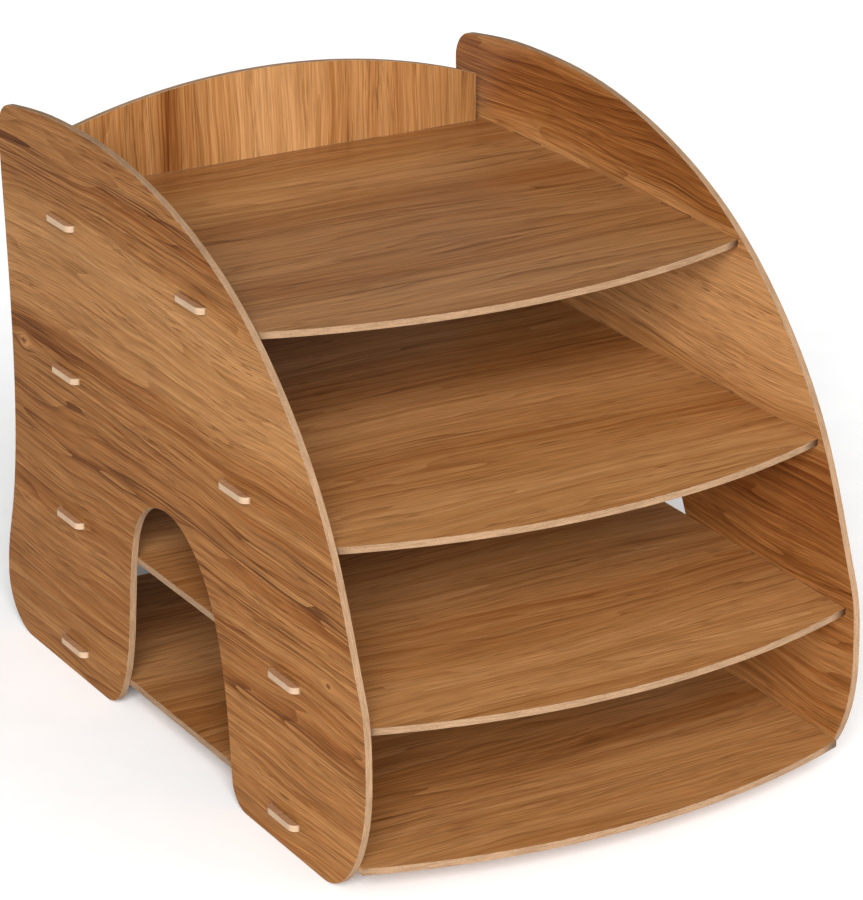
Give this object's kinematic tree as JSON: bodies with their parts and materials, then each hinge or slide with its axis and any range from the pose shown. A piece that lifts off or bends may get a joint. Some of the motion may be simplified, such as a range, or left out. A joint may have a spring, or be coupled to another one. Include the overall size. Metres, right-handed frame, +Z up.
{
  "type": "desktop file sorter",
  "caption": "Open desktop sorter: two arched side panels carry bowed shelves on tabs through their slots, with a low arched rail at the back of the top shelf.",
  "frame": {"origin": "on the desk, at the middle of the footprint", "axes": "+Z up, +Y towards the back rail, the open front faces -Y, +X to the right seen from the front"},
  "size_m": [0.257, 0.3656, 0.2714],
  "materials": {
    "laminated_board": "satin wood-grain laminate on thin fibreboard, raw pale edges"
  },
  "bodies": {
    "root": {"side_panel_left": "laminated_board", "side_panel_right": "laminated_board", "top_shelf": "laminated_board", "upper_shelf": "laminated_board", "lower_shelf": "laminated_board", "bottom_shelf": "laminated_board", "back_rail": "laminated_board"}
  },
  "joints": []
}
